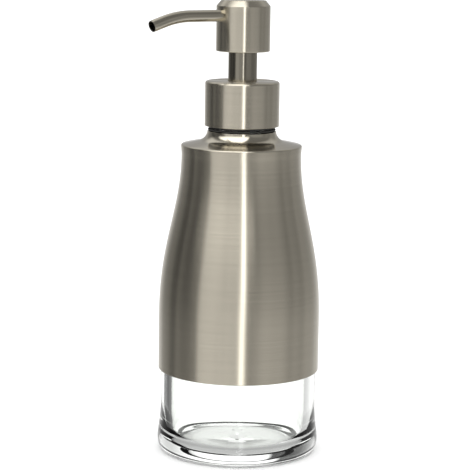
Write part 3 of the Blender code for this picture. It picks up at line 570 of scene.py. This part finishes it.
def withThread(mesh):
    # the thread is pushed out of the neck: its height falls away from a helix's line
    co = np.zeros(len(mesh.vertices) * 3)
    mesh.vertices.foreach_get("co", co)
    co = co.reshape(-1, 3)
    r = np.hypot(co[:, 0], co[:, 1])
    turns = np.arctan2(co[:, 1], co[:, 0]) / (2 * pi) % 1
    top = land - bottle["threadStart"]
    down = (top - co[:, 2]) / bottle["threadPitch"]      # turns below the thread's end
    along = down + turns - bottle["threadTurns"] % 1
    nearest = np.round(along)
    off = np.abs(along - nearest) * bottle["threadPitch"]
    ridge = np.clip(1 - (off / (bottle["threadWidth"] / 2))**2, 0, 1)**0.7
    fromMiddle = np.abs(down - bottle["threadTurns"] / 2)
    fade = np.clip((bottle["threadHalf"] - fromMiddle) / bottle["threadFade"], 0, 1)
    outer = (r > finishRadius - 0.0001) & (co[:, 2] > lipHeight) & (r < finishRadius + 0.001)
    push = np.where(outer, bottle["threadDepth"] * ridge * fade, 0)
    co[:, :2] *= (1 + push / r)[:, None]
    mesh.vertices.foreach_set("co", co.astype(np.float32).ravel())
    mesh.update()
    return mesh


outer = glassOuter()
neckStart = np.argmax(outer[:, 1] > lipHeight)
neck = finelySpaced(np.vstack([outer[neckStart], (finishRadius, land - bottle["lipRound"])]),
                    bottle["threadSpacing"])
outline = np.vstack([[(0, 0)], outer[:neckStart], neck, outer[-8:], glassInner()[::-1]])
glassMesh = withThread(turnedMesh("glassBottle", outline, 256))
addPiece("glassBottle", glassMesh, glass, "bottle", ["glass_bottle"], 40)
print("glass made")

collar = {"wall": 0.0006, "topEdge": 0.0012, "bottomEdge": 0.00022, "holeGap": 0.00025}
collarLow, collarHigh = boxOf("collar_shell")
stemRadius = boxOf("stem_cover")[1][0]


def collarProfile():
    radius, wall = collarHigh[0], collar["wall"]
    hole = stemRadius + collar["holeGap"]
    return roundedProfile([
        (radius - wall, collarLow[2], 0.00015),
        (radius, collarLow[2], collar["bottomEdge"]),
        (radius, collarHigh[2], collar["topEdge"]),
        (hole, collarHigh[2], 0.00015),
        (hole, collarHigh[2] - wall, 0.00015),
        (radius - wall, collarHigh[2] - wall, collar["topEdge"] - wall)])


addPiece("collarShell", turnedMesh("collarShell", collarProfile(), 224), steel, "closure",
         ["collar_shell"])

capLow, capHigh = boxOf("closure_cap")
cap = {"skirtDrop": 0.0003, "edge": 0.0003, "top": 0.0017, "bore": 0.0003, "ridge": 0.0006}


def capProfile():
    skirt = gasketHigh[0] - cap["skirtDrop"]
    bore = finishRadius + bottle["threadDepth"] + cap["bore"]
    hole = neckBore - 0.0012
    return roundedProfile([
        (bore, capLow[2], 0.0002), (skirt, capLow[2], cap["edge"]),
        (skirt, collarLow[2] + 0.0003, 0.0002), (capHigh[0], collarLow[2] + 0.0010, 0.0003),
        (capHigh[0], capHigh[2], 0.0006), (hole, capHigh[2], 0.0003),
        (hole, capHigh[2] - cap["top"], 0.0002), (bore, capHigh[2] - cap["top"], 0.0005)])


addPiece("closureCap", turnedMesh("closureCap", capProfile(), 160), blackPlastic, "closure",
         ["closure_cap"])


def gasketProfile(node, edge):
    low, high = boxOf(node)
    overThread = finishRadius + bottle["threadDepth"] + cap["bore"]
    inner = overThread if node == "neck_gasket" else neckBore
    return roundedProfile([(inner, low[2], edge), (high[0], low[2], edge),
                           (high[0], high[2], edge), (inner, high[2], edge)])


addPiece("neckGasket", turnedMesh("neckGasket", gasketProfile("neck_gasket", 0.0003), 160),
         blackRubber, "bottle", ["neck_gasket"])
addPiece("closureGasket", turnedMesh("closureGasket", gasketProfile("closure_gasket", 0.0003), 128),
         blackRubber, "pump", ["closure_gasket"])
print("closure made")

head = {
    "wall": 0.0006,
    "chamferIn": 0.0022,
    "chamferDown": 0.0026,
    "bottomEdge": 0.0005,
    "chamferEdge": 0.00035,
    "spoutDrop": 0.0068,
}
headLow, headHigh = boxOf("head_shell")
spout = {
    "radius": 0.0027,
    "wall": 0.0005,
    "straight": 0.0295,      # from the head's axis to the bend
    "bendRadius": 0.0470,
    "bend": 17.7,            # degrees
    "reach": 0.0498,
    "seat": 0.0050,
    "lip": 0.00012,
}
spoutHeight = headHigh[2] - head["spoutDrop"]


def headProfile():
    radius, top, wall = headHigh[0], headHigh[2], head["wall"]
    chamferLow = top - head["chamferDown"]
    flat = radius - head["chamferIn"]
    line = roundedProfile([
        (radius - wall, headLow[2], 0.0002),
        (radius, headLow[2], head["bottomEdge"]),
        (radius, chamferLow, head["chamferEdge"]),
        (flat, top, head["chamferEdge"]),
        (0, top, 0),
        (0, top - wall, 0),
        (flat - wall * 0.6, top - wall, 0.0002),
        (radius - wall, chamferLow - wall * 0.5, 0.0003)])
    start = np.argmin(np.abs(line[:, 0]) + (line[:, 1] > top - wall / 2))
    return np.roll(line, -start, 0)


addPiece("headShell", turnedMesh("headShell", headProfile(), 224, 0.0025), steel, "head",
         ["head_shell"])


def stemProfile():
    low, high = boxOf("stem_cover")
    return roundedProfile([(stemRadius - 0.0005, low[2], 0.0001), (stemRadius, low[2], 0.0002),
                           (stemRadius, high[2], 0.0002), (stemRadius - 0.0005, high[2], 0.0001)])


addPiece("stemCover", turnedMesh("stemCover", stemProfile(), 144), stemSteel, "head",
         ["stem_cover"])


def spoutLine():
    # straight out along -X, round a circle, then straight on to the tip
    angles = np.radians(np.linspace(0, spout["bend"], 41))
    x = -spout["straight"] - spout["bendRadius"] * np.sin(angles)
    z = spoutHeight - spout["bendRadius"] * (1 - np.cos(angles))
    left = spout["reach"] + x[-1]
    tip = (x[-1] - left, z[-1] - left * np.tan(angles[-1]))
    line = np.vstack([(-spout["seat"], spoutHeight), np.stack([x, z], 1), tip])
    return finelySpaced(line, 0.0015)


def spoutMesh(segments=64):
    # outer and inner circles carried along the line, joined by rounded lips at both ends
    line = spoutLine()
    step = np.gradient(line, axis=0)
    step /= np.linalg.norm(step, axis=1)[:, None]
    radius, wall, lip = spout["radius"], spout["wall"], spout["lip"]
    inner = radius - wall
    rows = np.concatenate([np.arange(len(line)), np.arange(len(line))[::-1]])
    radii = np.concatenate([np.full(len(line), radius), np.full(len(line), inner)])
    ends = [0, len(line) - 1, len(line), 2 * len(line) - 1]
    radii[ends] += np.array([-lip, -lip, lip, lip])
    centre, along = line[rows], step[rows]
    a = np.arange(segments) / segments * 2 * pi
    up = np.stack([-along[:, 1], along[:, 0]], 1) * -1
    r = radii[:, None]
    x = centre[:, :1] + r * np.sin(a) * up[:, :1]
    z = centre[:, 1:] + r * np.sin(a) * up[:, 1:]
    y = r * np.cos(a) + 0 * x
    lengths = np.concatenate([[0], np.cumsum(np.linalg.norm(np.diff(centre, axis=0), axis=1))])
    return surfaceMesh("spoutTube", np.stack([x, y, z], -1), True, lengths)


addPiece("spoutTube", spoutMesh(), spoutSteel, "head", ["spout_tube"])
print("head made")

tubeLow, tubeHigh = boxOf("dip_tube")
tube = {"wall": 0.0007, "edge": 0.0001}


def tubeProfile():
    radius, edge = tubeHigh[0], tube["edge"]
    inner = radius - tube["wall"]
    return roundedProfile([(inner, tubeLow[2], edge), (radius, tubeLow[2], edge),
                           (radius, tubeHigh[2], edge), (inner, tubeHigh[2], edge)])


addPiece("dipTube", turnedMesh("dipTube", tubeProfile(), 64), clearPlastic, "pump",
         ["dip_tube"])

spring = {"wire": 0.0008, "coils": 7, "closedGap": 0.0003, "stepsPerCoil": 48, "roundWire": 12}


def springMesh():
    # a wire carried round the axis: at turn t it is at angle 2 pi t, and its height rises
    # slowly over the closed turn at each end and evenly over the working coils between
    low, high = boxOf("return_spring")
    wire, coils = spring["wire"], spring["coils"]
    closed = wire + spring["closedGap"]
    rise = high[2] - low[2] - wire
    t = np.linspace(0, coils + 2, (coils + 2) * spring["stepsPerCoil"] + 1)
    angle = 2 * pi * t
    height = low[2] + wire / 2 + np.interp(t, [0, 1, coils + 1, coils + 2],
                                           [0, closed, rise - closed, rise])
    radius = high[0] - wire / 2
    a = np.arange(spring["roundWire"]) / spring["roundWire"] * 2 * pi
    r = radius + wire / 2 * np.cos(a)
    grid = np.stack([r * np.cos(angle)[:, None], r * np.sin(angle)[:, None],
                     height[:, None] + wire / 2 * np.sin(a)], -1)
    ends = [(radius * np.cos(angle[i]), radius * np.sin(angle[i]), height[i]) for i in (0, -1)]
    return surfaceMesh("returnSpring", grid, False, radius * angle, *ends)


# the spring, given a mesh of its own
returnSpring = addPiece("returnSpring", springMesh(), drawnSteel, "pump",
                        ["return_spring"], 60)
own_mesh(returnSpring)

for nodes, material, slot in (
        (("pump_housing", "stem_guide", "ball_cage", "spring_follower", "piston_rod", "head_core"),
         whitePlastic, "white_plastic"),
        (("rod_wiper", "piston_cup", "spout_seal"), blackRubber, "black_rubber"),
        (("inlet_ball", "outlet_ball"), drawnSteel, "spring_steel")):
    for node in nodes:
        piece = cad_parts[node]
        piece.data.materials.clear()
        piece.data.materials.append(material)
print("pump dressed")

studio = {
    "azimuth": -36.5,        # where the camera stands, degrees round from -Y
    "distance": 0.8525,
    "height": 0.2425,
    "pitch": 9.43,
    "pan": -0.16,
    "roll": 0.84,
    "lens": 143.1,
    "sensorWidth": 36,
    "tentRadius": 2.2,
    "surroundShare": 1.2,    # glass surround's radius, over the tent's
    "shadeHeight": -0.0004,
    "floorRadius": 6,
    "worldStrength": 1.5,
}
# what the metal sees round it at eye level: degrees from the camera, positive to the right,
# and brightness
tentBands = np.array([
    (-180, 1.0), (-160, 0.85), (-150, 0.55), (-140, 0.33), (-131, 0.27), (-122, 0.21), (-116, 0.12),
    (-107, 0.08), (-101, 0.18), (-95, 0.15), (-89, 0.11), (-78, 0.10), (-73, 0.12), (-67, 0.15),
    (-63, 0.30), (-60, 0.66), (-56, 0.80), (-45, 0.84), (-36, 0.82), (-30, 0.70), (-24, 0.60),
    (-18, 0.66), (-10, 0.60), (-4, 0.60), (-0.8, 0.75), (0.4, 3.0), (5, 3.0), (6.4, 0.9), (9, 0.38),
    (13, 0.23), (17, 0.24), (24, 0.36), (31, 0.47), (40, 0.50), (50, 0.46), (60, 0.46), (68, 0.41),
    (75, 0.33), (79, 0.28), (84, 0.36), (90, 0.36), (97, 0.32), (103, 0.31), (109, 0.41),
    (127, 0.40), (136, 0.46), (148, 0.70), (160, 0.9), (180, 1.0)])
# how far the bands lean: height in degrees above level, and degrees to the right
tentLean = np.array([(-13, 0), (-7.5, 3.2), (-6.8, 3.0), (-6.2, -2.2), (-4.6, -2.2), (-3.9, 3.2)])
# what the glass bends into view, by degrees from the camera
surroundBands = np.array([
    (-180, 1.4), (-161, 1.4), (-157, 0.10), (-148, 0.11), (-139, 0.16), (-130, 0.28), (-120, 0.46),
    (-108, 0.7), (-95, 1.0), (-80, 1.3), (100, 1.4), (115, 0.95), (128, 0.70), (138, 0.76),
    (148, 1.0), (158, 1.4), (180, 1.4)])
# the bottle's painted shadow on the table under the base: distance from the axis in metres, and
# brightness
shadeBands = np.array([(0, 0.74), (0.018, 0.72), (0.026, 0.58), (0.032, 0.46), (0.0374, 0.66)])
tentShades = {
    "dimming": 0.2,          # share that the bands lose with height
    "strip": 1.5,            # a band brighter than this keeps its strength
    "backGrey": 0.42,
    "overhead": 0.22,
    "overheadLeft": 0.68,
    "overheadBack": 0.36,
    "softBox": 2.2,
    "tableBelow": 0.35,
    "tablePale": 0.6,
    "tableGlow": 0.5,        # share that bands under the next value gain near the table
    "glowUnder": 0.7,
}


def addCamera():
    data = bpy.data.cameras.new("camera")
    data.lens, data.sensor_width = studio["lens"], studio["sensorWidth"]
    camera = bpy.data.objects.new("camera", data)
    bpy.context.scene.collection.objects.link(camera)
    around = Matrix.Rotation(radians(studio["azimuth"]), 4, "Z")
    place = around @ Vector((0, -studio["distance"], studio["height"]))
    aim = (Matrix.Rotation(radians(studio["azimuth"] - studio["pan"]), 4, "Z")
           @ Matrix.Rotation(radians(90 - studio["pitch"]), 4, "X")
           @ Matrix.Rotation(radians(studio["roll"]), 4, "Z"))
    camera.matrix_world = Matrix.Translation(place) @ aim
    bpy.context.scene.camera = camera


def addFloor():
    work = bmesh.new()
    bmesh.ops.create_circle(work, cap_ends=True, segments=96, radius=studio["floorRadius"])
    mesh = bpy.data.meshes.new("floor")
    work.to_mesh(mesh)
    work.free()
    material, _, shader = newMaterial("pale floor")
    setSockets(shader, Base_Color=(0.96, 0.96, 0.96, 1), Roughness=0.9, Specular_IOR_Level=0.1)
    mesh.materials.append(material)
    floor = bpy.data.objects.new("floor", mesh)
    bpy.context.scene.collection.objects.link(floor)
    floor.visible_glossy = floor.visible_transmission = False


def smoothStep(value, low, high):
    t = np.clip((value - low) / (high - low), 0, 1)
    return t * t * (3 - 2 * t)


def tentBrightness(angle, height):
    # eye-level bands that lean a little to one side or the other with height, and dim upwards
    lean = np.interp(height, *tentLean.T)
    level = np.interp(angle - lean, *tentBands.T)
    dim = tentShades["dimming"] * smoothStep(height, -9, -5)
    level = level * (1 - dim * (level < tentShades["strip"]))
    # the back wall is pale near the horizon and grey above it
    back = smoothStep(np.abs(angle), 140, 156)
    grey = tentShades["backGrey"]
    level = level * (1 - back) + back * (grey + (level - grey) * (1 - smoothStep(height, 3, 11)))
    # overhead: grey with one soft box in front, and paler at the left and the back
    upper = (tentShades["overhead"]
             + tentShades["overheadLeft"] * (1 - smoothStep(angle, -125, -105))
             + tentShades["overheadBack"] * smoothStep(angle, 105, 125))
    front = smoothStep(angle, -92, -80) * (1 - smoothStep(angle, 22, 30))
    upper = upper + front * tentShades["softBox"]
    share = smoothStep(height, 24, 40)
    level = level * (1 - share) + share * upper
    # the table: pale, and dark straight below
    table = tentShades["tableBelow"] + tentShades["tablePale"] * (1 - smoothStep(-height, 62, 80))
    share = smoothStep(-height, 14, 44)
    gain = tentShades["tableGlow"] * smoothStep(-height, 9, 15)
    level = level * (1 + gain * (level < tentShades["glowUnder"]))
    return level * (1 - share) + share * table


def addPanel(name, grid, glow, closedPoles=(None, None), material=None, **seenBy):
    # a sheet of light whose strength at each point is its "glow"
    mesh = surfaceMesh(name, grid, False, np.arange(len(grid)) * 1.0, *closedPoles)
    ends = [glow[row, 0] for row, pole in zip((0, -1), closedPoles) if pole is not None]
    layer = mesh.attributes.new("glow", "FLOAT", "POINT")
    layer.data.foreach_set("value", np.append(glow.ravel(), ends).astype(np.float32))
    mesh.materials.append(material or panelLight)
    panel = bpy.data.objects.new(name, mesh)
    bpy.context.scene.collection.objects.link(panel)
    panel.visible_camera = panel.visible_diffuse = panel.visible_shadow = False
    panel.visible_glossy = seenBy.get("glossy", False)
    panel.visible_transmission = seenBy.get("transmission", False)


def makePanelLight(name, white=None):
    # with a white given, the glow shows only in light that has bounced inside the glass,
    # and the rest is that white
    material = bpy.data.materials.new(name)
    material.use_nodes = True
    nodes, links = material.node_tree.nodes, material.node_tree.links
    nodes.remove(nodes["Principled BSDF"])
    light = nodes.new("ShaderNodeEmission")
    level = nodes.new("ShaderNodeAttribute")
    level.attribute_name = "glow"
    strength = level.outputs["Fac"]
    if white:
        tree = material.node_tree
        depth = nodes.new("ShaderNodeLightPath").outputs["Glossy Depth"]
        bounced = mathNode(tree, "MINIMUM", depth, 1.0)
        change = mathNode(tree, "SUBTRACT", strength, white)
        strength = mathNode(tree, "MULTIPLY_ADD", change, bounced, white)
    links.new(strength, light.inputs["Strength"])
    links.new(light.outputs[0], nodes["Material Output"].inputs["Surface"])
    return material


panelLight = makePanelLight("panel light")


def domePoints(angle, height, radius):
    # direction (angle from the camera, height above level) taken out to the dome's radius
    around, up = np.radians(angle + studio["azimuth"] - 90), np.radians(height)
    x, y = np.cos(around) * np.cos(up), np.sin(around) * np.cos(up)
    return np.stack([x, y, np.sin(up)], -1) * radius


def addTent():
    # a dome of panels, bright, grey and dark by direction; it is seen in reflections only
    angle, height = np.meshgrid(np.arange(-180, 180, 1.0), np.arange(-88, 89, 1.0))
    r = studio["tentRadius"]
    addPanel("tent", domePoints(angle, height, r), tentBrightness(angle, height),
             ((0, 0, -r), (0, 0, r)), glossy=True)


def addGlassSurround():
    # white, with a dark card at the left and a grey one at the right, which darken the edges
    # of the glass and are never seen straight through it
    angle, height = np.meshgrid(np.arange(-180, 180, 1.0), np.arange(-88, 89, 2.0))
    r = studio["tentRadius"] * studio["surroundShare"]
    white = float(surroundBands[0, 1])
    glow = np.interp(angle, *surroundBands.T) + 0 * height
    addPanel("glassSurround", domePoints(angle, height, r), glow, ((0, 0, -r), (0, 0, r)),
             makePanelLight("surround light", white), transmission=True)
    # painted shadow: a glowing disc close under the base that stands for the table, grey where the
    # bottle shades it
    radii = np.linspace(0.0005, bodyRadius, 40)
    a = np.arange(96) / 96 * 2 * pi
    z = studio["shadeHeight"]
    x, y = radii[:, None] * np.cos(a), radii[:, None] * np.sin(a)
    grid = np.stack([x, y, z + 0 * x], -1)
    glow = np.interp(radii, *shadeBands.T)[:, None] + 0 * a
    addPanel("baseShade", grid, glow, ((0, 0, z), None), transmission=True)


def addWorld():
    world = bpy.data.worlds.new("studio")
    world.use_nodes = True
    background = world.node_tree.nodes["Background"]
    setSockets(background, Color=(1, 1, 1, 1), Strength=studio["worldStrength"])
    bpy.context.scene.world = world
    bpy.context.scene.view_settings.view_transform = "Standard"
    bpy.context.scene.view_settings.look = "None"


addCamera()
addFloor()
addTent()
addGlassSurround()
addWorld()
print("studio made")
